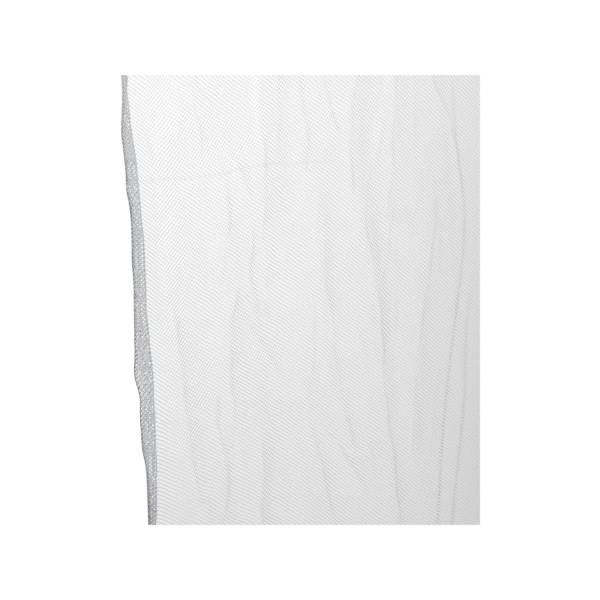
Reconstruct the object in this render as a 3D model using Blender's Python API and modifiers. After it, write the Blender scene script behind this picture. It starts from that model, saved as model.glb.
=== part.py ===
# Single mosquito net: a cut length of hanging netting with its turned side hem.
# Metres, +Z up. The face of the net looks towards -Y and the origin is the
# middle of its top edge. The tables below are in millimetres: a drop is
# measured down from the top edge, and across is measured to the right from
# the middle of the net as it is seen from the front.

import math
from collections import namedtuple

import bmesh
import bpy
import numpy as np

MM = 0.001

# Driving sizes, in millimetres
LENGTH = 324.0
RIGHT_EDGE = 129.2
HEM_WIDTH = 13.0
NET_THICKNESS = 1.0
HEM_THICKNESS = 2.8

# How finely the sheet is divided
ROWS = 30
HEM_COLUMNS = 4
PANEL_COLUMNS = 58
SAMPLES = 900
HEM_SAMPLES = 60

# How folds begin and end
FOLD_FADE = 22.0
HEM_EASE = 11.0
EDGE_EASE = 9.0
PLEAT_HALF = 4.4
PLEAT_EXTRA_COLUMNS = 1.6

# The hem line and how far the hem curls back from it, a row for each height
HemRow = namedtuple("HemRow", "drop inner curl_degrees")
HEM = [
    HemRow(0.0, -125.1, 170),
    HemRow(27.0, -123.0, 112),
    HemRow(53.0, -119.4, 87),
    HemRow(66.0, -117.2, 79),
    HemRow(90.0, -115.2, 91),
    HemRow(132.0, -111.7, 75),
    HemRow(186.0, -109.0, 67),
    HemRow(209.0, -106.6, 22),
    HemRow(232.0, -104.7, 46),
    HemRow(255.0, -104.0, 57),
    HemRow(270.0, -103.7, 76),
    HemRow(283.0, -103.4, 101),
    HemRow(298.0, -103.1, 112),
    HemRow(324.0, -103.3, 128),
]

# A pleat doubles the net back behind itself: overlap is how far it is pushed
# sideways, and depth how far the net beyond it lies behind
PleatRow = namedtuple("PleatRow", "drop across overlap depth")
PLEATS = [
    [
        PleatRow(0.0, 109.0, 1.2, 2.0),
        PleatRow(52.0, 112.5, 2.0, 2.6),
        PleatRow(98.0, 118.0, 2.4, 3.2),
        PleatRow(127.0, 117.2, 2.6, 3.6),
        PleatRow(173.0, 111.6, 3.0, 4.2),
        PleatRow(207.0, 107.6, 3.3, 4.5),
        PleatRow(255.0, 102.6, 3.5, 4.8),
        PleatRow(324.0, 98.6, 3.6, 4.8),
    ],
    [
        PleatRow(0.0, 140.0, 0.0, 0.0),
        PleatRow(128.0, 136.0, 0.0, 0.0),
        PleatRow(154.0, 123.4, 1.8, 2.0),
        PleatRow(173.0, 120.6, 2.4, 3.0),
        PleatRow(234.0, 118.2, 3.0, 4.2),
        PleatRow(264.0, 115.4, 3.2, 4.5),
        PleatRow(295.0, 112.0, 3.2, 4.6),
        PleatRow(324.0, 109.6, 3.2, 4.6),
    ],
]

# Soft gathers: the crest runs straight from the top edge to the bottom edge
Swell = namedtuple("Swell", "top_across low_across width top_rise low_rise")
SWELLS = [
    Swell(-92.0, -90.0, 17.0, 1.6, 2.6),
    Swell(-66.0, -64.0, 13.0, -0.8, -1.8),
    Swell(-38.0, -38.0, 17.0, 1.4, 3.2),
    Swell(-10.0, -12.0, 13.0, -0.9, -2.0),
    Swell(12.0, 4.0, 15.0, 1.6, 2.2),
    Swell(50.0, 44.0, 14.0, 1.4, 3.4),
    Swell(82.0, 88.0, 17.0, 2.4, 4.6),
    Swell(124.0, 124.0, 12.0, 1.0, 2.6),
]

# Creased folds: the crest runs through start, middle and end, with its own
# width to the left and to the right. One that begins above the top edge or
# ends below the bottom edge is cut off there at its full height
Fold = namedtuple("Fold", "top low start middle end left right rise")
FOLDS = [
    Fold(-22, 112, 46.0, 36.0, 39.5, 4.5, 9.0, 2.4),
    Fold(-22, 112, 69.5, 66.0, 61.0, 4.5, 8.0, 2.2),
    Fold(-22, 82, -5.5, 2.5, 4.5, 5.0, 5.0, 1.8),
    Fold(-22, 210, 96.0, 104.5, 112.0, 9.0, 4.5, 2.0),
    Fold(8, 172, -33.0, -25.5, -22.5, 7.0, 4.5, 2.4),
    Fold(24, 112, -62.0, -44.0, -29.0, 5.0, 7.0, 2.0),
    Fold(26, 92, -76.0, -71.0, -67.5, 6.0, 4.5, 1.6),
    Fold(64, 346, 44.0, 59.5, 72.5, 10.0, 4.4, 3.8),
    Fold(62, 300, 97.0, 86.0, 77.0, 10.0, 5.0, 2.8),
    Fold(64, 288, 13.5, 21.5, 39.5, 8.0, 4.6, 2.8),
    Fold(92, 196, -34.0, -35.5, -27.5, 4.5, 4.5, 1.8),
    Fold(140, 272, -43.0, -51.0, -43.5, 4.5, 8.0, 3.0),
    Fold(148, 346, -94.0, -81.0, -65.5, 6.0, 5.0, 2.6),
    Fold(162, 238, -46.0, -26.5, -4.0, 4.5, 5.5, 1.8),
    Fold(214, 346, -59.5, -52.5, -56.0, 4.6, 5.0, 3.0),
    Fold(238, 346, 4.0, 15.5, 29.0, 5.5, 4.5, 2.4),
    Fold(236, 318, 12.0, 31.5, 52.0, 5.0, 4.5, 2.0),
    Fold(248, 346, -26.0, -27.0, -28.0, 5.0, 5.0, 2.4),
]


def eased(value):
    # 0 below 0 and 1 above 1, with level ends
    value = np.clip(value, 0.0, 1.0)
    return value * value * (3.0 - 2.0 * value)


def read_along(rows, field, drop):
    # One column of a table at a height, on a smooth line through its rows
    drops = np.array([row.drop for row in rows])
    values = np.array([getattr(row, field) for row in rows], float)
    slopes = np.gradient(values, drops)
    k = int(np.clip(np.searchsorted(drops, drop) - 1, 0, len(rows) - 2))
    span = drops[k + 1] - drops[k]
    t = (drop - drops[k]) / span
    start = (1 + 2 * t) * (1 - t) ** 2 * values[k] + t * (1 - t) ** 2 * span * slopes[k]
    end = t * t * (3 - 2 * t) * values[k + 1] + t * t * (t - 1) * span * slopes[k + 1]
    return start + end


def swell_rise(across, drop):
    down = drop / LENGTH
    total = np.zeros_like(across)
    for swell in SWELLS:
        crest = swell.top_across + (swell.low_across - swell.top_across) * down
        rise = swell.top_rise + (swell.low_rise - swell.top_rise) * down
        total += rise * np.exp(-(((across - crest) / swell.width) ** 2))
    return total


def fold_rise(across, drop):
    total = np.zeros_like(across)
    for fold in FOLDS:
        if not fold.top < drop < fold.low:
            continue
        t = (drop - fold.top) / (fold.low - fold.top)
        crest = fold.start * (1 - t) * (1 - 2 * t)
        crest += fold.middle * 4 * t * (1 - t) + fold.end * t * (2 * t - 1)
        fade = eased((drop - fold.top) / FOLD_FADE) * eased((fold.low - drop) / FOLD_FADE)
        side = np.where(across < crest, fold.left, fold.right)
        total += fold.rise * fade * np.exp(-(((across - crest) / side) ** 2))
    return total


def panel_section(drop, hem_line):
    # The net from the hem line to the right edge: across, depth and how
    # closely each stretch is to be divided
    base = np.linspace(hem_line, RIGHT_EDGE, SAMPLES)
    away_from_hem = eased((base - hem_line) / HEM_EASE)
    across = base.copy()
    depth = -(swell_rise(base, drop) + fold_rise(base, drop)) * away_from_hem
    closeness = np.ones(SAMPLES)
    for rows in PLEATS:
        centre = read_along(rows, "across", drop)
        inside = eased((RIGHT_EDGE - centre) / EDGE_EASE)
        t = np.clip((base - centre) / PLEAT_HALF, -1.0, 1.0)
        across -= read_along(rows, "overlap", drop) * inside * np.sin(math.pi * t)
        depth += read_along(rows, "depth", drop) * inside * eased((t + 1) / 2)
        closeness += PLEAT_EXTRA_COLUMNS * inside * (1 - t * t)
    return across, depth, closeness


def hem_section(drop, hem_line):
    # The hem from its free edge to the hem line: it curls back on an arc
    curl = math.radians(read_along(HEM, "curl_degrees", drop))
    radius = HEM_WIDTH / curl
    angle = np.linspace(curl, 0.0, HEM_SAMPLES)
    return hem_line - radius * np.sin(angle), radius * (1 - np.cos(angle))


def divided(across, depth, closeness, count):
    # Points that divide a section into count stretches of like length
    length = np.hypot(np.diff(across), np.diff(depth))
    length *= (closeness[1:] + closeness[:-1]) / 2
    run = np.concatenate([[0.0], np.cumsum(length)])
    wanted = np.linspace(0.0, run[-1], count + 1)
    return np.interp(wanted, run, across), np.interp(wanted, run, depth)


def section_points(drop):
    hem_line = read_along(HEM, "inner", drop)
    hem_across, hem_depth = hem_section(drop, hem_line)
    hem = divided(hem_across, hem_depth, np.ones(HEM_SAMPLES), HEM_COLUMNS)
    panel = divided(*panel_section(drop, hem_line), PANEL_COLUMNS)
    across = np.concatenate([hem[0][:-1], panel[0]])
    depth = np.concatenate([hem[1][:-1], panel[1]])
    return across, depth


def net_surface():
    # A flat grid whose points are carried onto the hanging folds
    columns = HEM_COLUMNS + PANEL_COLUMNS
    shape = bmesh.new()
    bmesh.ops.create_grid(shape, x_segments=columns, y_segments=ROWS, size=0.5)
    sections = [section_points(LENGTH * row / ROWS) for row in range(ROWS + 1)]
    hem_weights = []
    for vertex in shape.verts:
        column = round((vertex.co.x + 0.5) * columns)
        row = round((0.5 - vertex.co.y) * ROWS)
        across, depth = sections[row]
        drop = LENGTH * row / ROWS
        vertex.co = (across[column] * MM, depth[column] * MM, -drop * MM)
        hem_weights.append(1.0 if column <= HEM_COLUMNS else 0.0)
    mesh = bpy.data.meshes.new("netting")
    shape.to_mesh(mesh)
    shape.free()
    mesh.shade_smooth()
    return mesh, hem_weights


def net_material():
    material = bpy.data.materials.new("white netting")
    material.use_nodes = True
    shader = material.node_tree.nodes["Principled BSDF"]
    shader.inputs["Base Color"].default_value = (0.84, 0.85, 0.86, 1.0)
    shader.inputs["Roughness"].default_value = 0.75
    shader.inputs["Metallic"].default_value = 0.0
    return material


def make_netting(collection):
    mesh, hem_weights = net_surface()
    mesh.materials.append(net_material())
    netting = bpy.data.objects.new("netting", mesh)
    collection.objects.link(netting)
    hem = netting.vertex_groups.new(name="hem")
    for index, weight in enumerate(hem_weights):
        hem.add([index], weight, "REPLACE")
    wall = netting.modifiers.new("Thickness", "SOLIDIFY")
    wall.thickness = HEM_THICKNESS * MM
    wall.offset = 0.0
    wall.vertex_group = hem.name
    wall.thickness_vertex_group = NET_THICKNESS / HEM_THICKNESS
    return netting


def main():
    for old in list(bpy.data.objects):
        bpy.data.objects.remove(old, do_unlink=True)
    collection = bpy.data.collections.new("single mosquito net")
    bpy.context.scene.collection.children.link(collection)
    make_netting(collection)


main()
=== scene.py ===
import math
from collections import namedtuple

import bmesh
import bpy
import numpy as np
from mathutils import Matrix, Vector


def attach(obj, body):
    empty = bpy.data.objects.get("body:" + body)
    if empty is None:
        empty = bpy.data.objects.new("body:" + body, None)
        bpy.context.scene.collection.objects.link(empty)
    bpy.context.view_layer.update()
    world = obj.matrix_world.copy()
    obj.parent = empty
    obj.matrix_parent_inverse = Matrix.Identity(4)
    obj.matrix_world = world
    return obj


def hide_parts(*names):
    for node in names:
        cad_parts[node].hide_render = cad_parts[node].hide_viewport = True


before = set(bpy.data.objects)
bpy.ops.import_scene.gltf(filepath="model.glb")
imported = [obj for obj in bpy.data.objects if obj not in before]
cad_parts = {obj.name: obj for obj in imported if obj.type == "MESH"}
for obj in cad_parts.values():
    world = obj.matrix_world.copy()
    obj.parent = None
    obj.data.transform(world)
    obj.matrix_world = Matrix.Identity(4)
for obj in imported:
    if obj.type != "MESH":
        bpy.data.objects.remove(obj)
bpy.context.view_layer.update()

# A cut length of hanging mosquito netting with a turned side hem. The net's sizes are in
# millimetres: a drop is measured down from the top edge, and across to the right from
# the middle of the net, seen from the front. The studio's sizes are in metres.
mm = 0.001

cloth = {
    "length": 324.0,
    "rightEdge": 129.2,
    "hemWidth": 13.0,
    "spare": 3.0,  # how far the cloth runs on past the edges it is cut at
    "rowStep": 0.8,
    "columnStep": 0.4,
    "samples": 2600,  # points along one section before it is divided evenly
    "settle": 16.0,  # a fold moves the cloth about this far to each side
    "calm": 20.0,  # how far from the hem the weave lies even
    "uvSpan": 460.0,  # millimetres of cloth to one unit of its UV map
    "uvShift": 60.0,
}

view = {
    "pixels": 600,  # across the picture
    "pixelSize": 0.00072,  # metres of net to one pixel of the picture
    "lens": 85.0,
    "sensor": 36.0,
    "centreAcross": -0.0004,
    "centreDrop": 0.162,
}
cameraAway = view["pixels"] * view["pixelSize"] * view["lens"] / view["sensor"]

folding = {
    "foldFade": 34.0,
    "swellShare": 0.7,
    "foldShare": 0.62,  # share of the solid's folds: the creases make up the rest
    "hemEase": 11.0,
    "edgeEase": 9.0,
    "pleatHalf": 3.1,
    "pleatOverlap": 0.28,  # share of the solid's overlap: the net is folded tighter
    "pleatDepth": 0.74,
    "creaseFade": 22.0,
    "creaseRise": 1.15,
    "sway": (0.5, 6.3, 1.7),  # how far a crease strays, over what length, and its start
    "waver": (0.35, 8.0, 2.3),  # and how unevenly it is nipped, likewise
    "gather": 1.25,  # how much more cloth the slopes hold than their depth shows
}

# The hem line, and how far the hem curls back from it
HemRow = namedtuple("HemRow", "drop inner curlDegrees")
hemRows = [HemRow(*row) for row in [
    (0, -125.1, 170), (27, -123, 112), (53, -119.4, 87), (66, -117.2, 79), (90, -115.2, 91),
    (132, -111.7, 75), (186, -109, 67), (209, -106.6, 22), (232, -104.7, 46),
    (255, -104, 57), (270, -103.7, 76), (283, -103.4, 101), (298, -103.1, 112),
    (324, -103.3, 128),
]]

# A pleat doubles the net back behind itself
PleatRow = namedtuple("PleatRow", "drop across overlap depth")
pleats = [[PleatRow(*row) for row in rows] for rows in (
    [(0, 109, 1.2, 2), (52, 112.5, 2, 2.6), (98, 118, 2.4, 3.2),
     (127, 117.2, 2.6, 3.6), (173, 111.6, 3, 4.2), (207, 107.6, 3.3, 4.5),
     (255, 102.6, 3.5, 4.8), (324, 98.6, 3.6, 4.8)],
    [(0, 140, 0, 0), (128, 136, 0, 0), (154, 123.4, 1.8, 2),
     (173, 120.6, 2.4, 3), (234, 118.2, 3, 4.2), (264, 115.4, 3.2, 4.5),
     (295, 112, 3.2, 4.6), (324, 109.6, 3.2, 4.6)],
)]

# Soft gathers that run the whole height
Swell = namedtuple("Swell", "topAcross lowAcross width topRise lowRise")
swells = [Swell(*row) for row in [
    (-92, -90, 17, 1.6, 2.6), (-66, -64, 13, -0.8, -1.8), (-38, -38, 17, 1.4, 3.2),
    (-10, -12, 13, -0.9, -2), (12, 4, 15, 1.6, 2.2), (50, 44, 14, 1.4, 3.4),
    (82, 88, 17, 2.4, 4.6), (124, 124, 12, 1, 2.6),
]]

# Folds with a crest through start, middle and end, and a width to each side
Fold = namedtuple("Fold", "top low start middle end left right rise")
folds = [Fold(*row) for row in [
    (-22, 112, 46, 36, 39.5, 4.5, 9, 2.4), (-22, 112, 69.5, 66, 61, 4.5, 8, 2.2),
    (-22, 82, -5.5, 2.5, 4.5, 5, 5, 1.8), (-22, 210, 96, 104.5, 112, 9, 4.5, 2),
    (8, 172, -33, -25.5, -22.5, 7, 4.5, 2.4), (24, 112, -62, -44, -29, 5, 7, 2),
    (26, 92, -76, -71, -67.5, 6, 4.5, 1.6), (64, 346, 44, 59.5, 72.5, 10, 5.2, 3.2),
    (62, 300, 97, 86, 77, 10, 5, 2.8), (64, 288, 13.5, 21.5, 39.5, 8, 4.6, 2.8),
    (92, 196, -34, -35.5, -27.5, 4.5, 4.5, 1.8), (140, 272, -43, -51, -43.5, 4.5, 8, 3),
    (148, 346, -94, -81, -65.5, 6, 5, 2.6), (162, 238, -46, -26.5, -4, 4.5, 5.5, 1.8),
    (214, 346, -59.5, -52.5, -56, 4.6, 5, 3), (238, 346, 4, 15.5, 29, 5.5, 4.5, 2.4),
    (236, 318, 12, 31.5, 52, 5, 4.5, 2), (248, 346, -26, -27, -28, 5, 5, 2.4),
]]

# Sharp creases, where the net is nipped into a narrow ridge: its height, its line as drop
# and across, and its half width
Crease = namedtuple("Crease", "rise line width", defaults=[0.9])
creases = [Crease(*row) for row in [
    (0.7, [(78, 45.4), (110, 47.2), (150.5, 54.4), (191, 58.7), (206, 59.4)], 0.8),
    (1.15, [(172, 57), (191, 58.7), (233, 60.8), (263, 65.2), (297, 68.8), (330, 71.4)], 0.8),
    (0.8, [(81, 96.1), (114, 95.4), (153, 90.4), (183, 86), (202, 83.2), (242, 81),
           (284, 78.8)], 0.8),
    (0.9, [(8, -32.6), (67, -25.6), (110, -26.3), (164, -23)]),
    (1.1, [(98, -33.2), (150.5, -34.9), (186, -28)], 0.8),
    (0.9, [(168, -43.4), (194, -27.7), (226, -7.4)]),
    (0.9, [(68, -52.6), (111.6, -51.9), (137, -55.1), (162, -60.5)], 0.8),
    (0.9, [(142, -45.2), (165, -36), (188, -26.6)], 0.8),
    (1.1, [(142, -42.6), (176, -48.6), (205, -50.2), (234, -48.4), (262, -46.8)]),
    (1.2, [(218, -59.8), (257, -58), (280, -52.2), (330, -56)], 0.8),
    (0.8, [(154, -93.5), (197, -86.8), (237, -82.4), (280, -76.7), (322, -69.4)]),
    (1.1, [(256, -26), (330, -28)]),
    (0.7, [(243, 4.8), (277, 14), (330, 25.8)]),
    (0.9, [(246, 10.9), (273.6, 32), (308, 53)]),
    (0.5, [(68, 14.4), (119, 12.6), (168, 21.2), (208, 25.6), (276, 39.4)]),
    (0.8, [(145, 7.8), (191, 9.7), (239, 4.4)]),
    (0.9, [(-9, 42.8), (32, 36.4), (84, 37.1), (110, 39.2)]),
    (0.8, [(-9, 68.8), (47, 65.9), (75.6, 65.2), (112, 60.6)]),
    (1.1, [(-9, 16), (6.5, 16.9), (52, 31.4)]),
    (0.8, [(-9, -4), (41, 4), (80, 4)]),
    (0.6, [(-9, -16.2), (64, -16.2)]),
    (0.8, [(-9, -78), (6.5, -75.2), (36, -51)]),
    (0.7, [(12, -82.8), (58, -90.6)]),
    (0.8, [(12, -79.6), (38, -73.4), (78, -70.4)]),
    (0.7, [(32, -60.6), (68, -43.6), (106, -29.2)]),
    (0.9, [(21, -115.2), (73, -105.8)]),
    (0.8, [(158, -83.8), (168, -76), (186, -60)]),
    (0.8, [(226, -33.2), (244, -24.8), (270, -11)]),
    (1, [(-9, 94), (6.5, 96.1), (24, 103.3), (47, 110.5), (76, 114.8), (96, 117.7)]),
    (0.5, [(68, -27), (104, -8), (126, 0)]),
    (0.5, [(64, 18.4), (100, 0), (126, -13)]),
    (0.6, [(-9, 56.4), (40, 58.5), (65, 54), (94, 46)]),
    (0.6, [(114, 67.8), (162, 68.7), (206, 67)]),
    (0.7, [(78, 67), (115, 64.2), (140, 60.2), (164, 54.6)], 0.8),
    (0.6, [(172, 39.6), (200, 46), (224, 51.8)], 0.8),
    (0.6, [(219, -20), (236, -15.4), (256, -11.8)]),
    (0.6, [(262, -71.2), (290, -70), (306, -69.4)]),
    (0.6, [(238, -44.4), (262, -42.4), (294, -39.8)]),
    (0.5, [(150, -31), (170, -24.4), (192, -12.6)], 0.8),
    (0.5, [(196, -36), (214, -26.2), (234, -19)], 0.8),
    (0.5, [(88, -43.4), (106, -36.8), (126, -31)], 0.8),
    (0.5, [(10, -29.8), (34, -31.2), (58, -27.4)]),
    (0.5, [(38, 5.6), (58, 3.2), (92, 8.6)]),
    (0.5, [(98, 98.6), (130, 99.4), (160, 96)]),
    (0.5, [(196, 100.4), (236, 96), (272, 92.4)]),
    (0.6, [(44, 52.6), (70, 50.2), (92, 44.8)], 0.8),
    (0.5, [(242, 44.6), (276, 51), (306, 57.2)]),
    (0.5, [(120, -77.2), (150, -80.6), (176, -86)]),
    (0.5, [(-9, 79.6), (40, 82.2), (88, 80.4)]),
]]


def eased(value):
    value = np.clip(value, 0.0, 1.0)
    return value * value * (3.0 - 2.0 * value)


def readAlong(drops, values, drop):
    # A smooth line through the rows of a table, read at many places at once
    drops = np.asarray(drops, float)
    values = np.asarray(values, float)
    slopes = np.gradient(values, drops)
    k = np.clip(np.searchsorted(drops, drop) - 1, 0, len(drops) - 2)
    span = drops[k + 1] - drops[k]
    t = np.clip((drop - drops[k]) / span, 0.0, 1.0)
    start = (1 + 2 * t) * (1 - t) ** 2 * values[k] + t * (1 - t) ** 2 * span * slopes[k]
    end = t * t * (3 - 2 * t) * values[k + 1] + t * t * (t - 1) * span * slopes[k + 1]
    return start + end


def column(rows, field, drop):
    return readAlong([r.drop for r in rows], [getattr(r, field) for r in rows], drop)


def lineAt(line, place):
    # The same for a line of points, each given as place and value
    return readAlong([point[0] for point in line], [point[1] for point in line], place)


def swellRise(across, drop):
    down = drop / cloth["length"]
    total = np.zeros_like(across)
    for swell in swells:
        crest = swell.topAcross + (swell.lowAcross - swell.topAcross) * down
        rise = swell.topRise + (swell.lowRise - swell.topRise) * down
        total += rise * np.exp(-(((across - crest) / swell.width) ** 2))
    return total * folding["swellShare"]


def fadedEnds(top, low, drop, fade=folding["foldFade"]):
    # A fold or crease fades in and out, unless it runs off the cloth
    begins = 1.0 if top < 0 else eased((drop - top) / fade)
    ends = 1.0 if low > cloth["length"] else eased((low - drop) / fade)
    return begins * ends


def foldRise(across, drop):
    total = np.zeros_like(across)
    for fold in folds:
        t = (drop - fold.top) / (fold.low - fold.top)
        crest = fold.start * (1 - t) * (1 - 2 * t)
        crest += fold.middle * 4 * t * (1 - t) + fold.end * t * (2 * t - 1)
        shown = fadedEnds(fold.top, fold.low, drop)
        side = np.where(across < crest, fold.left, fold.right)
        total += fold.rise * shown * np.exp(-(((across - crest) / side) ** 2))
    return total * folding["foldShare"]


def creaseRise(across, drop):
    total = np.zeros_like(across)
    sway, swayOver, swayStart = folding["sway"]
    waver, waverOver, waverStart = folding["waver"]
    for k, crease in enumerate(creases):
        centre = lineAt(crease.line, drop)
        centre = centre + sway * np.sin(drop / swayOver + swayStart * k)
        shown = fadedEnds(crease.line[0][0], crease.line[-1][0], drop, folding["creaseFade"])
        shown = shown * (1 + waver * np.sin(drop / waverOver + waverStart * k))
        away = (across - centre) / crease.width
        total += crease.rise * folding["creaseRise"] * shown * np.exp(-(away ** 2))
    return total


# Bands down the folds where the net is pushed together, or drawn open: how much more net
# there is, part of it more cloth and part of it fuller yarns, the band's half width and
# its line
Band = namedtuple("Band", "more width line")
bands = [Band(*row) for row in [
    (0.39, 5, [(85, -47), (160, -45), (220, -47)]),
    (0.45, 11, [(-9, -16), (60, -16), (112, -15)]),
    (0.41, 5.5, [(-9, 46), (70, 45), (105, 48), (155, 60), (245, 64), (330, 75)]),
    (0.34, 3.5, [(-9, 71), (40, 70), (72, 68)]),
    (0.30, 6, [(60, 96), (110, 98), (160, 97)]),
    (0.32, 4.5, [(140, 92), (220, 87), (300, 82)]),
    (0.20, 4.5, [(240, 8), (290, 17), (330, 27)]),
    (0.22, 30, [(180, 12), (260, 14), (322, 10)]),
    (0.29, 4, [(236, 34), (270, 41), (306, 49)]),
    (0.39, 4, [(258, -23), (300, -24), (330, -24)]),
    (0.34, 3.5, [(232, -52), (280, -51), (330, -52)]),
    (0.23, 8, [(190, -34), (235, -25), (275, -19)]),
    (0.32, 4, [(120, 16), (200, 22), (250, 29)]),
    (0.25, 4, [(20, -60), (45, -52), (72, -46)]),
    (0.25, 5, [(20, -80), (50, -86), (74, -88)]),
    (0.28, 5, [(100, -31), (140, -36), (170, -30)]),
    (-0.80, 3.5, [(-9, -34), (35, -30), (66, -25.5)]),
    (-0.41, 3.5, [(52, -50), (78, -44), (100, -38)]),
    (-0.70, 4, [(66, 10), (89, 0), (114, -8)]),
    (0.40, 3, [(76, -25), (98, -15), (120, -4)]),
    (-0.40, 4, [(108, -14), (130, -13), (158, -12)]),
    (-0.65, 3, [(-9, 64), (40, 55), (72, 49)]),
    (-0.29, 6, [(124, -27), (142, -22), (164, -18)]),
    (-0.29, 8, [(-9, -92), (30, -93), (62, -95)]),
    (-0.35, 4, [(155, 69), (190, 69), (220, 70)]),
    (-0.32, 3, [(210, 82), (250, 80), (290, 79)]),
    (-0.29, 8, [(2, 22), (30, 23), (62, 25)]),
    (-0.38, 3.5, [(266, -69), (300, -68), (330, -67)]),
    (-0.43, 3, [(230, 106), (280, 104), (330, 103)]),
]]


def gathered(across, drop):
    total = np.zeros_like(across)
    for band in bands:
        away = (across - lineAt(band.line, drop)) / band.width
        shown = fadedEnds(band.line[0][0], band.line[-1][0], drop)
        total += band.more * shown * np.exp(-(away ** 2))
    return total


# Folds that are darker on one side: the net is fuller just past a line and opens again
# beyond it. A minus reach is to the left
Facet = namedtuple("Facet", "more reach line")
facets = [Facet(*row) for row in [
    (0.24, 8, [(-9, 48), (24, 38.5), (48, 36.8), (79, 36.8), (98, 42)]),
    (0.20, 9, [(80, 48), (106, 46.4), (130, 51.2), (154, 57.2), (192, 57.7)]),
    (0.12, 20, [(-9, 70.4), (36, 68), (72, 64.9), (106, 63.2), (140, 62)]),
    (0.16, 12, [(-9, -14), (12, -14.8), (64, -15.3)]),
    (0.24, 10, [(10, -74.6), (43, -70.5), (68, -68.8)]),
    (0.24, 8, [(68, -57.2), (108, -52.3), (152, -49.8)]),
    (0.28, 9, [(148, -43.6), (176, -48.6), (205, -50.2), (234, -48.4), (262, -46.8)]),
    (0.20, 8, [(78, 13.6), (156, 18.8), (190, 23)]),
    (0.26, -7, [(46, -109), (96, -102.4), (156, -101.2), (204, -99)]),
    (0.24, 7, [(246, -27.6), (300, -26), (330, -25.6)]),
    (0.20, 8, [(150, 57), (193, 58), (222, 61.5), (262, 65), (330, 71)]),
    (0.16, 10, [(150, 90), (203, 83.6), (220, 84.8), (241, 81.2), (284, 78.4)]),
    (0.16, 10, [(160, -92), (246, -82), (322, -69.6)]),
    (0.26, 4, [(208, -60.4), (264, -57), (292, -52)]),
    (0.16, 10, [(268, -69.4), (330, -68.8)]),
]]


full = {
    "bandCloth": 0.35,  # share of a band that is more cloth
    "band": 0.34,  # and how much its yarns spread, in the bands, in the
    "crease": 0.05,  # creases and along the pleats
    "pleat": 0.22,
    "pleatLine": 1.4,  # half width of a pleat's line
    "pleatWhole": 3.0,  # the overlap at which it shows in full
    "facetOnset": 12.0,  # how sharply a facet begins at its line
}


def fullness(across, drop):
    # How much the yarns spread where the net is pushed together
    total = full["band"] * gathered(across, drop)
    for facet in facets:
        past = np.maximum((across - lineAt(facet.line, drop)) / facet.reach, 0.0)
        shown = fadedEnds(facet.line[0][0], facet.line[-1][0], drop)
        total += facet.more * shown * np.exp(-past) * (1 - np.exp(-past * full["facetOnset"]))
    total += full["crease"] * creaseRise(across, drop)
    for rows in pleats:
        away = (across - column(rows, "across", drop)) / full["pleatLine"]
        shown = column(rows, "overlap", drop) / full["pleatWhole"]
        total += full["pleat"] * shown * np.exp(-(away ** 2))
    return total


# Marks of the folded package: fine level creases, with the cloth that each takes up. The
# line is across and drop
PackCrease = namedtuple("PackCrease", "takes rise width line")
packCreases = [
    PackCrease(1.5, 0.85, 1, [(-116, 76), (-100, 75.6), (-75, 74), (-50, 70), (-26, 65),
                              (0, 64), (28, 62.6), (44, 62)]),
    PackCrease(0.9, 0.6, 1, [(-106, 250.5), (-75, 251), (-44, 249)]),
]
packFades = (9.0, 50.0)  # over how far each fades in at the left and out at the right


def packCrease(crease, across, drop):
    # How far past the crease a point is, in its half widths, and how much it shows
    begins = eased((across - crease.line[0][0]) / packFades[0])
    ends = eased((crease.line[-1][0] - across) / packFades[1])
    return (drop - lineAt(crease.line, across)) / crease.width, begins * ends


def panelSections(drop):
    # The net from the hem line past the right edge, one section for each drop
    hemLine = column(hemRows, "inner", drop)
    steps = np.linspace(0.0, 1.0, cloth["samples"])
    base = hemLine + (cloth["rightEdge"] + cloth["spare"] - hemLine) * steps
    awayFromHem = eased((base - hemLine) / folding["hemEase"])
    rise = swellRise(base, drop) + foldRise(base, drop) + creaseRise(base, drop)
    for crease in packCreases:
        away, shown = packCrease(crease, base, drop)
        rise += crease.rise * shown * np.exp(-(away ** 2))
    across = base.copy()
    depth = -rise * awayFromHem
    for rows in pleats:
        centre = column(rows, "across", drop)
        inside = eased((cloth["rightEdge"] - centre) / folding["edgeEase"])
        t = np.clip((base - centre) / folding["pleatHalf"], -1.0, 1.0)
        overlap = column(rows, "overlap", drop) * folding["pleatOverlap"]
        behind = column(rows, "depth", drop) * folding["pleatDepth"]
        across -= overlap * inside * np.sin(math.pi * t)
        depth += behind * inside * eased((t + 1) / 2)
    return across, depth


hem = {
    "stands": [(0, -0.2), (12, -0.5), (30, -0.5), (42, 0.5), (56, 0.5), (72, 0.7), (81, 1.4),
               (92, 0.8), (110, 0.6), (150, 0.7), (165, 1.2), (178, 1.0), (187, 0.3),
               (197, -0.8), (211, -0.1), (222, -1.1), (236, -1.0), (246, -0.3),
               (256, 0.6), (324, 0.7)],  # how far it stands out from an even curl
    "standsEase": 6.0,
    "layerGap": 0.5,  # between neighbouring layers of the turned hem
    "samples": 400,
    "turnSamples": 40,
    "frayed": 12.3,  # how far the raw edge reaches back inside the turn
    "narrower": 0.3,  # the outer turn lies this far inside the hem's full width
    "waves": [(0.5, 9.0, 0.0), (0.35, 4.3, 1.0)],  # how far it swells, over what length
    # and where it swells more: how far, at which drop, its reach and how squarely
    "bulges": [(1.3, 42.0, 20.0, 2), (1.5, 221.0, 11.0, 2), (1.2, 208.0, 50.0, 4)],
    "inner": 0.5,  # where the back layer turns in again, and its waves
    "innerWaves": [(0.3, 13.0, 2.0), (0.2, 5.1, 0.0)],
    "frontEase": 3.0,  # the front layer comes down to the net over this width
    "ripple": 0.14,
    "rippleAlong": (2.6, 3.4),
    "rippleDown": (9.0, 7.3),
    "rippleEase": 4.0,
}


def waved(waves, drop, level=0.0):
    return sum((rise * np.sin(drop / size + start) for rise, size, start in waves), level)


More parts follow.
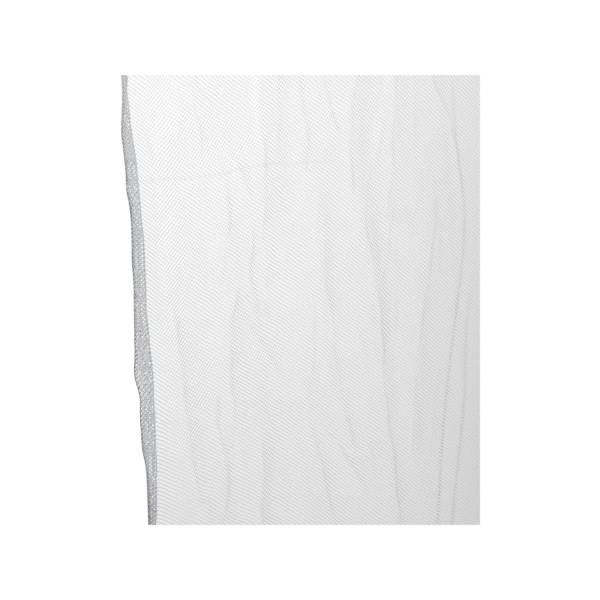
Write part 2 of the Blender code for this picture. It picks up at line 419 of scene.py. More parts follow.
def hemSections(drop):
    # Three layers in one line of cloth: the raw edge between, the back, the front
    gap = hem["layerGap"]
    width = cloth["hemWidth"]
    count = hem["samples"]
    swollen = waved(hem["waves"], drop)
    for rise, middle, reach, power in hem["bulges"]:
        swollen += rise * np.exp(-(((drop - middle) / reach) ** power))
    turn = width - hem["narrower"] + swollen
    inner = waved(hem["innerWaves"], drop, hem["inner"])
    t = np.linspace(0.0, 1.0, count)
    between = hem["frayed"] + (inner - hem["frayed"]) * t + 0 * drop
    back = inner + (turn - inner) * t
    front = turn * (1 - t) + 0 * drop
    halfTurn = np.linspace(0.0, math.pi, hem["turnSamples"])
    innerTurn = inner - gap / 2 * np.sin(halfTurn)
    outerTurn = turn + gap * np.sin(halfTurn)
    along = np.hstack([between, innerTurn, back, outerTurn, front])
    lift = np.hstack([
        np.zeros(count) + 0 * drop,
        -gap / 2 * (1 - np.cos(halfTurn)) + 0 * drop,
        -gap * np.ones(count) + 0 * drop,
        -gap * np.cos(halfTurn) + 0 * drop,
        gap * eased(front / hem["frontEase"]),
    ])
    overAlong, overDown = hem["rippleAlong"], hem["rippleDown"]
    ripple = hem["ripple"] * np.sin(along / overAlong[0] + drop / overDown[0])
    ripple = ripple + hem["ripple"] * np.sin(drop / overDown[1] - along / overAlong[1])
    lift = lift + ripple * eased(along / hem["rippleEase"])
    lift = lift + lineAt(hem["stands"], drop) * eased(along / hem["standsEase"])
    radius = width / np.radians(column(hemRows, "curlDegrees", drop))
    angle = along / radius
    hemLine = column(hemRows, "inner", drop)
    across = hemLine - (radius + lift) * np.sin(angle)
    depth = radius * (1 - np.cos(angle)) - lift * np.cos(angle)
    return across, depth


def evenly(across, depth, step):
    # Each section again with its points at even distances, and its length
    length = np.hypot(np.diff(across, axis=1), np.diff(depth, axis=1))
    run = np.hstack([np.zeros((len(across), 1)), np.cumsum(length, axis=1)])
    count = int(math.ceil(run[:, -1].max() / step))
    outAcross = np.empty((len(across), count + 1))
    outDepth = np.empty_like(outAcross)
    for k in range(len(across)):
        wanted = np.linspace(0.0, run[k, -1], count + 1)
        outAcross[k] = np.interp(wanted, run[k], across[k])
        outDepth[k] = np.interp(wanted, run[k], depth[k])
    return outAcross, outDepth, run[:, -1]


pulls = {
    "across": 0.36,  # how far the weave is pulled sideways
    "down": 0.22,  # and up or down
    "downStart": 2.6,
    "size": 12.0,  # of the patches, which are 12 to 30 mm long
    "waver": 0.8,
    "waverDown": 31.0,
    "waverAcross": 23.0,
    "waves": [(2.3, 0.9, 0.4), (-1.7, 2.1, 2.0), (3.4, -1.3, 4.1), (0.8, 3.1, 5.2),
              (-3.9, -2.2, 1.1), (2.9, 3.7, 3.3)],
}


def pulled(across, drop, reach, turn):
    # How far the weave is pulled out of place here, in soft patches
    total = np.zeros_like(across)
    for steep, level, start in pulls["waves"]:
        phase = (steep * across + level * drop) / pulls["size"] + start + turn
        place = drop / pulls["waverDown"] + across / pulls["waverAcross"] + start
        total += np.sin(phase + pulls["waver"] * np.sin(place))
    return total * reach / math.sqrt(len(pulls["waves"]))


hemSide = {
    "gather": 2.2,  # millimetres of cloth gathered close beside the hem
    "gatherReach": 8.0,
    "eased": 1.2,  # and given back on both sides of a line further in
    "easedFrom": 17.0,
    "easedReach": 9.0,
    "topFade": 20.0,  # both from the top to this drop, and over how far they end
    "highTo": 215.0,
    "fade": 90.0,
    "low": 3.0,  # cloth given back below, and from which drop
    "lowFrom": 190.0,
    "lowReach": 30.0,
}


def besideHem(fromHem, drop):
    # The hem gathers the cloth close beside it, where the cells are narrow, and a little
    # further in they are wider, and wider again low down
    fade, line, reach = hemSide["fade"], hemSide["easedFrom"], hemSide["easedReach"]
    high = eased(drop / hemSide["topFade"]) * eased((hemSide["highTo"] - drop) / fade)
    low = eased((drop - hemSide["lowFrom"]) / fade)
    close = np.tanh(fromHem / hemSide["gatherReach"]) * hemSide["gather"]
    beyond = (np.tanh((fromHem - line) / reach) + np.tanh(line / reach)) * hemSide["eased"]
    wider = low * hemSide["low"] * np.tanh(fromHem / hemSide["lowReach"])
    return high * (close - beyond) - wider


weave = {
    "crowding": (0.95, 1.02, 1.20),  # cells to a width: left, middle and right
    "leftEnd": -110.0,
    "topStretch": (1.12, 1.00),  # height of a cell, left and right: the weight
    "lowStretch": (0.96, 0.89),  # below pulls the cells longer at the top
    "stretchFrom": 125.0,  # it changes from here, left of the middle, over
    "stretchOver": 255.0,  # this width
    "arch": 7.5,  # how far the rows of cells drop towards the sides
    "archReach": 120.0,
    "archLeft": (0.2, 1.0),  # how much of that on the left: at the top, and more below
    "drawnUp": 5.0,  # how far the hem draws the rows of cells beside it up
    "drawnReach": 26.0,
    "drawnFade": 60.0,
    "drawnTo": 270.0,  # and down to which drop
}


def crowdingAt(across):
    places = [weave["leftEnd"], 0.0, cloth["rightEdge"]]
    return np.interp(across, places, weave["crowding"])


def downTheCloth(drop, across):
    # Where a point lies down the flat cloth: the cells are taller at the top, and their
    # rows arch down towards the sides
    share = np.clip((across + weave["stretchFrom"]) / weave["stretchOver"], 0.0, 1.0)
    top = weave["topStretch"][0] * (1 - share) + weave["topStretch"][1] * share
    low = weave["lowStretch"][0] * (1 - share) + weave["lowStretch"][1] * share
    slope = (low - top) / cloth["length"]
    height = top + slope * drop
    down = np.log(height / top) / slope
    atTop, below = weave["archLeft"]
    leftSide = atTop + below * np.clip(drop / cloth["length"], 0.0, 1.0)
    sideways = (across / weave["archReach"]) ** 2
    down = down - weave["arch"] * sideways * np.where(across < 0, leftSide, 1.0) / height
    fromHem = across - column(hemRows, "inner", drop)
    fade = weave["drawnFade"]
    drawn = eased(drop / fade) * eased((weave["drawnTo"] - drop) / fade)
    down = down + weave["drawnUp"] * drawn * np.exp(-fromHem / weave["drawnReach"])
    for crease in packCreases:
        away, shown = packCrease(crease, across, drop)
        down += crease.takes * shown * eased(away / 2.0 + 0.5)
    return down


def keep(mesh, name, values):
    # One number for each point, kept as a named attribute of the mesh
    mesh.attributes.new(name, "FLOAT", "POINT").data.foreach_set("value", values)


def smoothed(rows, reach):
    # Each row of numbers smoothed along its length, with its ends kept
    half = int(3 * reach)
    weights = np.exp(-0.5 * (np.arange(-half, half + 1) / reach) ** 2)
    weights /= weights.sum()
    padded = np.pad(rows, ((0, 0), (half, half)), mode="reflect", reflect_type="odd")
    return np.array([np.convolve(row, weights, "valid") for row in padded])


def settled(along, across, hemLine):
    # The cloth is spread alike at every height, and only near folds take it up unevenly
    reach = cloth["settle"] / cloth["columnStep"]
    width = cloth["rightEdge"] + cloth["spare"] - hemLine
    place = (smoothed(across, reach) - hemLine) / width
    taken = smoothed(along, reach)
    shares = np.linspace(0.0, 1.0, 200)
    usual = np.mean([np.interp(shares, p, t) for p, t in zip(place, taken)], axis=0)
    return along + np.interp(place, shares, usual) - taken


def flatPlaces(panel, hemLengths, hemCount, drop):
    # Where each point lies along and down the flat cloth: along is under 0 in the hem
    across, depth = panel
    middles = (across[:, 1:] + across[:, :-1]) / 2
    held = np.hypot(np.diff(across, axis=1), folding["gather"] * np.diff(depth, axis=1))
    steps = crowdingAt(middles) * held
    steps = steps * (1 + full["bandCloth"] * gathered(middles, drop))
    along = np.hstack([np.zeros((len(across), 1)), np.cumsum(steps, axis=1)])
    hemLine = column(hemRows, "inner", drop)
    along = settled(along, across, hemLine)
    calm = eased((across - hemLine) / cloth["calm"])
    along = along + calm * pulled(across, drop, pulls["across"], 0.0)
    along = along + besideHem(across - hemLine, drop)
    inHem = np.linspace(-1.0, 0.0, hemCount + 1)[:-1] * hemLengths[:, None]
    down = downTheCloth(drop, across)
    down = down + calm * pulled(across, drop, pulls["down"], pulls["downStart"])
    down = np.hstack([np.repeat(down[:, :1], hemCount, axis=1), down])
    return np.hstack([inHem, along]), down


def gridMesh(name, across, depth, drop):
    # A mesh of the sections, and which row and column of them each of its points is
    rows, columns = across.shape[0] - 1, across.shape[1] - 1
    shape = bmesh.new()
    bmesh.ops.create_grid(shape, x_segments=columns, y_segments=rows, size=0.5)
    mesh = bpy.data.meshes.new(name)
    shape.to_mesh(mesh)
    shape.free()
    grid = np.empty(len(mesh.vertices) * 3)
    mesh.vertices.foreach_get("co", grid)
    grid = grid.reshape(-1, 3)
    r = np.rint((0.5 - grid[:, 1]) * rows).astype(int)
    c = np.rint((grid[:, 0] + 0.5) * columns).astype(int)
    placed = np.stack([across[r, c], depth[r, c], -drop[r, 0]], axis=1) * mm
    mesh.vertices.foreach_set("co", placed.ravel())
    return mesh, r, c


def dropsFor(rows):
    # A drop for each row, from a little above the cloth to a little below
    return np.linspace(-cloth["spare"], cloth["length"] + cloth["spare"], rows + 1)[:, None]


def foldedCloth():
    # The plain cloth in its folds, with a UV map in millimetres of flat cloth
    drop = dropsFor(int(round((cloth["length"] + 2 * cloth["spare"]) / cloth["rowStep"])))
    panel = evenly(*panelSections(drop), cloth["columnStep"])
    turned = evenly(*hemSections(drop), cloth["columnStep"])
    across = np.hstack([turned[0][:, :-1], panel[0]])
    depth = np.hstack([turned[1][:, :-1], panel[1]])
    hemCount = turned[0].shape[1] - 1
    along, down = flatPlaces(panel[:2], turned[2], hemCount, drop)
    spread = np.hstack([np.zeros((len(drop), hemCount)), fullness(panel[0], drop)])
    mesh, r, c = gridMesh("foldedCloth", across, depth, drop)
    keep(mesh, "fullness", spread[r, c])
    uv = (np.stack([along[r, c], down[r, c]], axis=1) + cloth["uvShift"]) / cloth["uvSpan"]
    corners = np.empty(len(mesh.loops), dtype=np.int32)
    mesh.loops.foreach_get("vertex_index", corners)
    mesh.uv_layers.new(name="cloth").data.foreach_set("uv", uv[corners].ravel())
    mesh.update()
    widths, heights = along[:, -1], down[-1] - down[0]
    print("cloth: flat width %.1f to %.1f mm, hem %.1f mm, flat height %.1f to %.1f mm" % (
        widths.min(), widths.max(), turned[2].mean(), heights.min(), heights.max()))
    return mesh, drop[:, 0], turned[0].min(axis=1)


class Nodes:
    # A node tree with one method that adds a node and gives its outputs, and one that
    # fills its sockets, by their names or as n0, n1 and on by their numbers
    def __init__(self, tree):
        self.tree = tree

    def add(self, kind, settings=None, **values):
        node = self.tree.nodes.new(kind)
        for name, value in (settings or {}).items():
            setattr(node, name, value)
        self.fill(node, **values)
        return node.outputs

    def fill(self, node, **values):
        for name, value in values.items():
            named = [s for s in node.inputs if s.name == name.replace("_", " ") and s.enabled]
            socket = named[0] if named else node.inputs[int(name[1:])]
            found = value.socket if isinstance(value, Value) else value
            if isinstance(found, bpy.types.NodeSocket):
                self.tree.links.new(found, socket)
            else:
                socket.default_value = found


class Value:
    # A number on a socket, so that sums can be written as sums
    def __init__(self, nodes, socket):
        self.nodes = nodes
        self.socket = socket

    def math(self, operation, other=None, swapped=False):
        values = {"n0": self}
        if other is not None:
            values = {"n0": other, "n1": self} if swapped else {"n0": self, "n1": other}
        outputs = self.nodes.add("ShaderNodeMath", {"operation": operation}, **values)
        return Value(self.nodes, outputs[0])

    def __add__(self, other):
        return self.math("ADD", other)

    __radd__ = __add__

    def __sub__(self, other):
        return self.math("SUBTRACT", other)

    def __rsub__(self, other):
        return self.math("SUBTRACT", other, swapped=True)

    def __mul__(self, other):
        return self.math("MULTIPLY", other)

    __rmul__ = __mul__

    def __truediv__(self, other):
        return self.math("DIVIDE", other)


def flatAt(nodes, uv):
    # Along and down the flat cloth in millimetres, from a place on its UV map
    parts = nodes.add("ShaderNodeSeparateXYZ", Vector=uv)
    return [Value(nodes, parts[k]) * cloth["uvSpan"] - cloth["uvShift"] for k in (0, 1)]


def newMaterial(name):
    material = bpy.data.materials.new(name)
    material.use_nodes = True
    nodes = Nodes(material.node_tree)
    return material, nodes, nodes.tree.nodes["Principled BSDF"]


def linked(name, data):
    # A new object in the scene
    made = bpy.data.objects.new(name, data)
    bpy.context.scene.collection.objects.link(made)
    return made


yarn = {
    "colour": (0.86, 0.87, 0.88, 1.0),
    "shade": (0.74, 0.755, 0.775, 1.0),
    "fineTint": 0.6,  # how much the filaments and the broad patches tell in the
    "broadTint": 0.5,  # mix of the two, and how far it is set back to the shade
    "tintBack": 0.1,
    "hemShade": (0.70, 0.71, 0.73, 1.0),  # painted shade between the hem's layers
    "edgeShade": (0.26, 0.27, 0.29, 1.0),  # and painted shade along its outer edge
    "edgeReach": 2.8,
    "edgeFrom": 70.0,  # the painted edge shade fades out above this drop
    "lowShade": 0.28,  # painted shade: the hem's lowest end is greyer all over
    "lowFrom": 290.0,
    "lowReach": 25.0,
    "roughness": 0.62,
    "roughSpread": 0.3,
    "filaments": 9000.0,  # how many filaments and patches go to a metre
    "patches": 26.0,
    "bump": 0.35,
    "filamentDepth": 0.00006,
    "sheen": 0.25,
    "sheenRoughness": 0.4,
}


def yarnMaterial():
    # White multifilament yarn: fine filaments, with painted shade between the hem's layers
    # and along its outer edge
    material, nodes, shader = newMaterial("netting yarn")
    place = nodes.add("ShaderNodeTexCoord")["Object"]
    filament = nodes.add("ShaderNodeTexNoise", Vector=place, Scale=yarn["filaments"],
                         Detail=2.0, Roughness=0.6)
    patch = nodes.add("ShaderNodeTexNoise", Vector=place, Scale=yarn["patches"],
                      Detail=2.0, Roughness=0.5)
    fine = Value(nodes, filament["Fac"])
    broad = Value(nodes, patch["Fac"])
    tint = fine * yarn["fineTint"] + broad * yarn["broadTint"] - yarn["tintBack"]
    flat = nodes.add("ShaderNodeAttribute", {"attribute_name": "flatPlace"})
    along = flatAt(nodes, flat["Vector"])[0]
    # how much painted shade lies at the hem's outer edge and low end
    edgeShading = nodes.add("ShaderNodeAttribute", {"attribute_name": "nearEdge"})
    colour = yarn["shade"]
    # The tone varies at random; the hem's grey and its darker outer edge are painted shade
    for factor, second in ((tint, "colour"), (along.math("LESS_THAN", 0.0), "hemShade"),
                           (edgeShading["Fac"], "edgeShade")):
        colour = nodes.add("ShaderNodeMix", {"data_type": "RGBA", "clamp_factor": True},
                           n0=factor, n6=colour, n7=yarn[second])[2]
    rough = yarn["roughness"] + (fine - 0.5) * yarn["roughSpread"]
    bump = nodes.add("ShaderNodeBump", Strength=yarn["bump"], Distance=yarn["filamentDepth"],
                     Height=fine)
    nodes.fill(shader, Base_Color=colour, Roughness=rough, Normal=bump["Normal"],
               Sheen_Weight=yarn["sheen"], Sheen_Roughness=yarn["sheenRoughness"])
    return material


cells = {
    "lowFrom": 40.0,  # the yarns change from here along the cloth, over this
    "lowOver": 230.0,  # width, and this many times faster than evenly
    "lowFaster": 2.0,
    "mostCrowded": 6.0,  # no cell counts as more crowded than this
    "besideHem": ((4.0, 6.0, 0.75), (20.0, 9.0, -0.6)),  # place, reach and lean there
    "flatSize": (0.315, 0.335),  # the cut cloth with its hem turned out, in metres
    "yarnShare": 0.34,  # how much of the flat cloth is yarn and not holes
}

# What the trees are given, by the names of their inputs
netInputs = {
    "Cell up": (1.435, -1.85, 0.0),  # one side of a cell on the flat cloth
    "Cell down": (1.435, 1.03, 0.0),  # the other side
    "Count up": 230,
    "Count down": 300,
    "Middle": (137.0, 165.0, 0.0),  # the flat cloth's middle, where the lattice is laid
    "Flat area": 4.13 * mm * mm,  # of one cell on the flat cloth
    "Level share": 0.17,  # how much of a cell the level yarn takes at the upper left
    "Steep share": 0.195,  # and the steep yarn
    "Level low": 0.20,  # and how much of it at the lower right, where the level
    "Steep low": 0.10,  # yarns are drawn over the steep ones
    "Thicker low": 0.24,  # both yarns spread this much wider at the bottom
    "Lean": 0.55,  # how far one yarn lies over the other in a patch
    "Patches": (42.0, 11.0, 0.0),  # and how many patches to one unit of the UV map
    "Hem share": 0.32,  # in the hem, where the yarns are drawn together
    "Slack": 0.11,  # how far a crossing strays from its place
    "Slack noise": 0.35,
    "Knot": 0.18 * mm,  # half the width of a knot
    "Knot turn": (6.28, 6.28, 6.28),
    "Yarn": yarnMaterial(),
}
socketKinds = {tuple: "Vector", int: "Int", float: "Float"}


def attribute(nodes, name, kind="FLOAT"):
    read = nodes.add("GeometryNodeInputNamedAttribute", {"data_type": kind}, Name=name)
    return Value(nodes, read["Attribute"])


def vectorMath(nodes, operation, **values):
    return nodes.add("ShaderNodeVectorMath", {"operation": operation}, **values)[0]


def onCloth(nodes, inputs, kind, value, uv):
    # A field of the folded cloth, read at a place on its UV map
    sample = nodes.add("GeometryNodeSampleUVSurface", {"data_type": kind},
                       Mesh=inputs["Geometry"], Value=value,
                       UV_Map=attribute(nodes, "cloth", "FLOAT_VECTOR"), Sample_UV=uv)
    found = [s for s in sample if s.name == "Value" and s.enabled][0]
    return Value(nodes, found), sample["Is Valid"]


def clothPlace(nodes, inputs):
    # Fields for a lattice point: where it is on the flat cloth, on the folds, and if it
    # is off the cloth
    place = nodes.add("GeometryNodeInputPosition")[0]
    parts = nodes.add("ShaderNodeSeparateXYZ", Vector=place)
    up = vectorMath(nodes, "SCALE", Vector=inputs["Cell up"], Scale=parts["X"])
    down = vectorMath(nodes, "SCALE", Vector=inputs["Cell down"], Scale=parts["Y"])
    both = vectorMath(nodes, "ADD", n0=up, n1=down)
    flat = vectorMath(nodes, "ADD", n0=both, n1=inputs["Middle"])
    noise = nodes.add("ShaderNodeTexNoise", {"noise_dimensions": "3D"}, Vector=flat,
                      Scale=inputs["Slack noise"], Detail=1.0)
    centred = vectorMath(nodes, "SUBTRACT", n0=noise["Color"], n1=(0.5, 0.5, 0.5))
    strays = vectorMath(nodes, "SCALE", Vector=centred, Scale=inputs["Slack"])
    loose = vectorMath(nodes, "ADD", n0=flat, n1=strays)
    shift = (cloth["uvShift"], cloth["uvShift"], 0.0)
    shifted = vectorMath(nodes, "ADD", n0=loose, n1=shift)
    uv = vectorMath(nodes, "SCALE", Vector=shifted, Scale=1 / cloth["uvSpan"])
    folded, valid = onCloth(nodes, inputs, "FLOAT_VECTOR", place, uv)
    missing = nodes.add("FunctionNodeBooleanMath", {"operation": "NOT"}, n0=valid)
    return uv, folded, missing[0]


def stored(nodes, geometry, name, kind, domain, value):
    # A field kept as a named attribute of the mesh
    return nodes.add("GeometryNodeStoreNamedAttribute", {"data_type": kind, "domain": domain},
                     Geometry=geometry, Name=name, Value=value)[0]


def measuredCells(nodes, kept, folded):
    # The flat lattice, each cell marked with its area on the folds
    place = nodes.add("GeometryNodeInputPosition")[0]
    area = nodes.add("GeometryNodeInputMeshFaceArea")[0]
    marked = stored(nodes, kept, "lattice", "FLOAT_VECTOR", "POINT", place)
    shown = nodes.add("GeometryNodeSetPosition", Geometry=marked, Position=folded)
    measured = stored(nodes, shown[0], "shownArea", "FLOAT", "FACE", area)
    return nodes.add("GeometryNodeSetPosition", Geometry=measured,
                     Position=attribute(nodes, "lattice", "FLOAT_VECTOR"))[0]


def yarnLean(nodes, inputs, uv, along):
    # How far one yarn lies over the other: in patches, and more so beside the hem
    patch = vectorMath(nodes, "MULTIPLY", n0=uv, n1=inputs["Patches"])
    drawn = nodes.add("ShaderNodeTexNoise", {"noise_dimensions": "3D"}, Vector=patch,
                      Scale=1.0, Detail=1.0)
    lean = (Value(nodes, drawn["Fac"]) - 0.5) * 2.0
    for place, reach, more in cells["besideHem"]:
        away = (along - place) / reach
        lean = lean + (away * away * -1.0).math("EXPONENT") * more
    return lean * inputs["Lean"]


def holedLattice(nodes, inputs, kept, uv, folded):
    # The flat lattice with a hole in each cell, smaller where the folds crowd the cells
    ring = nodes.add("GeometryNodeExtrudeMesh", {"mode": "FACES"},
                     Mesh=measuredCells(nodes, kept, folded), Offset_Scale=0.0,
                     Individual=True)
    crowded = inputs["Flat area"] / attribute(nodes, "shownArea")
    crowded = crowded.math("MINIMUM", cells["mostCrowded"]).math("SQRT")
    along, down = flatAt(nodes, uv)
    inHem = along.math("LESS_THAN", 0.0)
    lean = yarnLean(nodes, inputs, uv, along)
    down = down / (cells["flatSize"][1] / mm)
    low = ((along - cells["lowFrom"]) / cells["lowOver"]).math("MAXIMUM", 0.0) * down
    low = (low * cells["lowFaster"]).math("MINIMUM", 1.0)
    spread = onCloth(nodes, inputs, "FLOAT", attribute(nodes, "fullness"), uv)[0]
    net = ring["Mesh"]
    for name, axis, leans in (("Level", (1, 0, 0), lean), ("Steep", (0, 1, 0), -1 * lean)):
        share = inputs[name + " share"]
        share = share + down * inputs["Thicker low"] * share
        share = share + low * (inputs[name + " low"] - share)
        share = share + share * (leans + spread)
        share = share + inHem * (inputs["Hem share"] - share)
        net = nodes.add("GeometryNodeScaleElements",
                        {"domain": "FACE", "scale_mode": "SINGLE_AXIS"}, Geometry=net,
                        Selection=ring["Top"], Scale=1.0 - share * crowded, Axis=axis)[0]
    net = nodes.add("GeometryNodeDeleteGeometry", {"domain": "FACE", "mode": "ONLY_FACE"},
                    Geometry=net, Selection=ring["Top"])[0]
    for name in ("lattice", "shownArea"):
        net = nodes.add("GeometryNodeRemoveAttribute", Geometry=net, Name=name)[0]
    return net


def netTree(knots):
    # Lays the lattice of cells on the cloth in its folds. With knots it leaves a small
    # knot at each crossing, else the yarn round each hole
    tree = bpy.data.node_groups.new("knots" if knots else "cells", "GeometryNodeTree")
    for way in ("OUTPUT", "INPUT"):
        tree.interface.new_socket("Geometry", in_out=way, socket_type="NodeSocketGeometry")
    for name, value in netInputs.items():
        kind = "NodeSocket" + socketKinds.get(type(value), "Material")
        tree.interface.new_socket(name, in_out="INPUT", socket_type=kind)
    nodes = Nodes(tree)
    inputs = {s.name: Value(nodes, s) for s in nodes.add("NodeGroupInput")}
    countUp, countDown = inputs["Count up"], inputs["Count down"]
    grid = nodes.add("GeometryNodeMeshGrid", Size_X=countUp - 1, Size_Y=countDown - 1,
                     Vertices_X=countUp, Vertices_Y=countDown)
    uv, folded, missing = clothPlace(nodes, inputs)
    lattice = nodes.add("GeometryNodeDeleteGeometry", {"domain": "POINT"},
                        Geometry=grid["Mesh"], Selection=missing)[0]
    if not knots:
        lattice = holedLattice(nodes, inputs, lattice, uv, folded)
    marked = stored(nodes, lattice, "flatPlace", "FLOAT_VECTOR", "POINT", uv)
    net = nodes.add("GeometryNodeSetPosition", Geometry=marked, Position=folded)[0]
    if knots:
        knot = nodes.add("GeometryNodeMeshCone", Vertices=4, Radius_Top=0.0,
                         Radius_Bottom=inputs["Knot"], Depth=inputs["Knot"])
        points = nodes.add("GeometryNodeMeshToPoints", Mesh=net)[0]
        turn = nodes.add("FunctionNodeRandomValue", {"data_type": "FLOAT_VECTOR"},
                         Seed=7, n1=inputs["Knot turn"])
        net = nodes.add("GeometryNodeInstanceOnPoints", Points=points,
                        Instance=knot["Mesh"], Rotation=turn[0])[0]
    else:
        net = nodes.add("GeometryNodeFlipFaces", Mesh=net)[0]
    net = nodes.add("GeometryNodeRealizeInstances", Geometry=net)[0]
    net = nodes.add("GeometryNodeSetShadeSmooth", Geometry=net)[0]
    net = nodes.add("GeometryNodeSetMaterial", Geometry=net, Material=inputs["Yarn"])[0]
    nodes.add("NodeGroupOutput", Geometry=net)
    return tree


def laidOn(sheet, name, tree):
    # Runs a tree on the cloth and keeps its result as a plain mesh
    holder = linked("clothFor" + name, sheet)
    modifier = holder.modifiers.new(name, "NODES")
    modifier.node_group = tree
    for item in tree.interface.items_tree:
        if item.name in netInputs:
            modifier[item.identifier] = netInputs[item.name]
    evaluated = holder.evaluated_get(bpy.context.evaluated_depsgraph_get())
    mesh = bpy.data.meshes.new_from_object(evaluated)
    mesh.name = name
    bpy.data.objects.remove(holder, do_unlink=True)
    return mesh


def cutPlain(mesh):
    # The cut edges: the top, the bottom and the right side, cut so that they look
    # straight from the front, also where the folds lie deeper
    rightLean = (cloth["rightEdge"] * mm - view["centreAcross"]) / cameraAway
    endLean = view["centreDrop"] / cameraAway
    shape = bmesh.new()
    shape.from_mesh(mesh)
    cuts = [
        ((0, 0, 0), (0, -endLean, 1)),
        ((0, 0, -cloth["length"] * mm), (0, -endLean, -1)),
        ((cloth["rightEdge"] * mm, 0, 0), (1, -rightLean, 0)),
    ]
    for place, outward in cuts:
        everything = shape.verts[:] + shape.edges[:] + shape.faces[:]
        bmesh.ops.bisect_plane(shape, geom=everything, plane_co=place,
                               plane_no=outward, clear_outer=True, dist=1e-7)
    loose = [v for v in shape.verts if not v.link_faces]
    bmesh.ops.delete(shape, geom=loose, context="VERTS")
    shape.to_mesh(mesh)
    shape.free()


def dressed(name, mesh):
    piece = linked(name, mesh)
    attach(piece, "root")
    mesh.calc_loop_triangles()
    print("%s: %d triangles" % (name, len(mesh.loop_triangles)))
    return piece


def shadeHemEdge(mesh, drops, outline):
    # How near each point is to the hem's outer edge, and how low on the hem, for the painted
    # shade there
    places = np.empty(len(mesh.vertices) * 3)
    mesh.vertices.foreach_get("co", places)
    places = places.reshape(-1, 3) / mm
    fromEdge = places[:, 0] - np.interp(-places[:, 2], drops, outline)
    # painted shade: darkest along the outer edge, faded out near the top, greyer at the
    # lowest end
    near = eased(1.0 - fromEdge / yarn["edgeReach"])
    near *= eased(-places[:, 2] / yarn["edgeFrom"])
    near += yarn["lowShade"] * eased((-places[:, 2] - yarn["lowFrom"]) / yarn["lowReach"])
    keep(mesh, "nearEdge", near)


def splitAtHem(mesh):
    # The cells of the turned hem go into a mesh of their own
    hemMesh = mesh.copy()
    hemMesh.name = "netHem"
    hemLine = cloth["uvShift"] / cloth["uvSpan"]
    for part, keepsHem in ((mesh, False), (hemMesh, True)):
        shape = bmesh.new()
        shape.from_mesh(part)
        place = shape.verts.layers.float_vector.get("flatPlace")
        wrong = []
        for face in shape.faces:
            alongCloth = sum(v[place][0] for v in face.verts) / len(face.verts)
            if (alongCloth < hemLine) != keepsHem:
                wrong.append(face)
        bmesh.ops.delete(shape, geom=wrong, context="FACES")
        shape.to_mesh(part)
        shape.free()
    return hemMesh


def placeCamera():
    camera = bpy.data.cameras.new("camera")
    camera.lens = view["lens"]
    camera.sensor_width = view["sensor"]
    holder = linked("camera", camera)
    holder.location = (view["centreAcross"], -cameraAway, -view["centreDrop"])
    holder.rotation_euler = (math.pi / 2, 0, 0)
    bpy.context.scene.camera = holder


light = {
    "worldWhite": 1.0,
    "worldFill": 0.375,
    "keyPlace": (-0.26, -0.64, 0.20),
    "keyAim": (0.0, 0.0, -0.12),
    "keySize": 0.40,
    "keyPower": 2.1,
    "floorDrop": 1.3,
    "floorRadius": 3.6,
    "floorTone": (0.9, 0.9, 0.9, 1.0),
    "floorGlow": 0.55,
}


def lightStudio():
    world = bpy.data.worlds.new("studio")
    bpy.context.scene.world = world
    world.use_nodes = True
    world.cycles.sampling_method = "NONE"  # an even fill needs no aiming, and is cleaner
    world.node_tree.nodes.clear()
    nodes = Nodes(world.node_tree)
    seen = nodes.add("ShaderNodeLightPath")["Is Camera Ray"]
    fill = nodes.add("ShaderNodeBackground", Color=(1, 1, 1, 1), Strength=light["worldFill"])
    white = nodes.add("ShaderNodeBackground", Color=(1, 1, 1, 1),
                      Strength=light["worldWhite"])
    mixed = nodes.add("ShaderNodeMixShader", n0=seen, n1=fill[0],
                      n2=white[0])
    nodes.add("ShaderNodeOutputWorld", Surface=mixed[0])
    lamp = bpy.data.lights.new("key", "AREA")
    lamp.energy = light["keyPower"]
    lamp.size = light["keySize"]
    key = linked("key", lamp)
    key.location = light["keyPlace"]
    aim = Vector(light["keyAim"]) - key.location
    key.rotation_euler = aim.to_track_quat("-Z", "Y").to_euler()
    key.visible_camera = False


def layFloor():
    shape = bmesh.new()
    bmesh.ops.create_circle(shape, cap_ends=True, segments=96, radius=light["floorRadius"])
    mesh = bpy.data.meshes.new("floor")
    shape.to_mesh(mesh)
    shape.free()
    material, nodes, shader = newMaterial("pale floor")
    nodes.fill(shader, Base_Color=light["floorTone"], Roughness=0.9,
               Emission_Color=(1.0, 1.0, 1.0, 1.0), Emission_Strength=light["floorGlow"])
    mesh.materials.append(material)
    floor = linked("floor", mesh)
    floor.location = (0, 0, -light["floorDrop"])


# A film of painted shade that greys what shows through the net's holes
backdrop = {
    "behind": 0.9,  # how far it hangs behind the net, in the same folds
    "columns": 130,
    "rows": 108,
    "dimAll": 0.005,  # how grey it is at the upper left
    "dimRight": 0.172,  # how much it dims towards the right
    "rightPower": 3.2,  # and how late
    "dimLow": 0.175,  # and towards the bottom
    "lowPower": 2.0,
    "dimSide": 0.27,  # and more beside the middle of its right edge
    "tint": (0.01, 0.01, 0.01, 1.0),
}


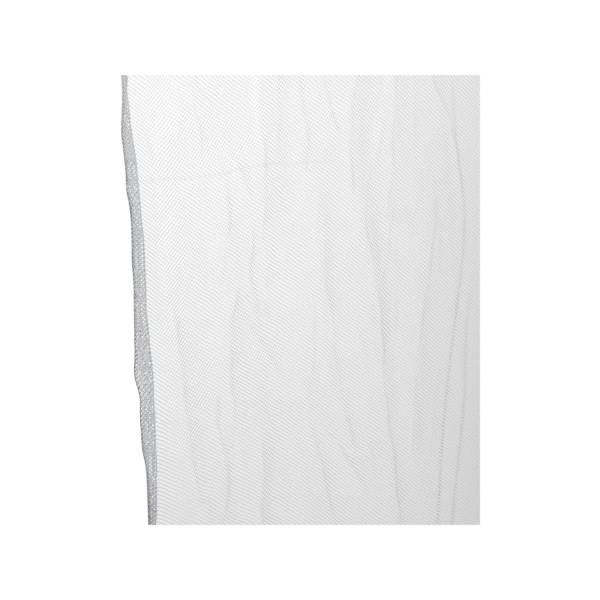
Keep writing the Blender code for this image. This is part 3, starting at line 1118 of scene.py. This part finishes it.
def backdropMaterial():
    # A film of painted shade, clear at the upper left and greyer to the lower right
    material, nodes, shader = newMaterial("painted shade film")
    place = nodes.add("ShaderNodeTexCoord")["Object"]
    parts = nodes.add("ShaderNodeSeparateXYZ", Vector=place)
    width = cloth["rightEdge"] * 2 * mm
    right = (Value(nodes, parts["X"]) / width + 0.5).math("MAXIMUM", 0.0)
    low = (Value(nodes, parts["Z"]) / (-cloth["length"] * mm)).math("MAXIMUM", 0.0)
    dim = right.math("POWER", backdrop["rightPower"]) * backdrop["dimRight"]
    dim = dim + low.math("POWER", backdrop["lowPower"]) * backdrop["dimLow"]
    dim = dim + right * right * low * (1.0 - low) * backdrop["dimSide"]
    nodes.fill(shader, Alpha=dim + backdrop["dimAll"], Base_Color=backdrop["tint"],
               Roughness=1.0, Specular_IOR_Level=0.0)
    return material


def hangBackdrop():
    # Painted shade seen through the net's holes: a film that hangs close behind the net
    drop = dropsFor(backdrop["rows"])
    across, depth = panelSections(drop)
    across = np.maximum.accumulate(across, axis=1)  # it doesn't double back at a pleat
    hemLine = column(hemRows, "inner", drop)
    width = cloth["rightEdge"] + cloth["spare"] - hemLine
    wanted = hemLine + width * np.linspace(0.0, 1.0, backdrop["columns"] + 1)
    behind = np.array([np.interp(*row) for row in zip(wanted, across, depth)])
    mesh = gridMesh("backdrop", wanted, behind + backdrop["behind"], drop)[0]
    cutPlain(mesh)
    mesh.materials.append(backdropMaterial())
    film = linked("backdrop", mesh)
    film.visible_shadow = False
    film.visible_diffuse = False


sheet, sheetDrops, sheetOutline = foldedCloth()
netMesh = laidOn(sheet, "netCells", netTree(False))
cutPlain(netMesh)
hemMesh = splitAtHem(netMesh)
shadeHemEdge(hemMesh, sheetDrops, sheetOutline)
netCells = dressed("netCells", netMesh)
netHem = dressed("netHem", hemMesh)
knotMesh = laidOn(sheet, "netKnots", netTree(True))
cutPlain(knotMesh)
shadeHemEdge(knotMesh, sheetDrops, sheetOutline)
netKnots = dressed("netKnots", knotMesh)
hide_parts("netting")
flatArea = cells["flatSize"][0] * cells["flatSize"][1]
yarnArea = sum(face.area for mesh in (netMesh, hemMesh) for face in mesh.polygons)
print("yarn covers %.3f of the cloth" % (yarnArea / flatArea))
placeCamera()
lightStudio()
hangBackdrop()
layFloor()
bpy.context.scene.view_settings.view_transform = "Standard"
bpy.context.scene.cycles.use_denoising = False  # it would smear the fine mesh
print("studio: camera, light and floor placed")
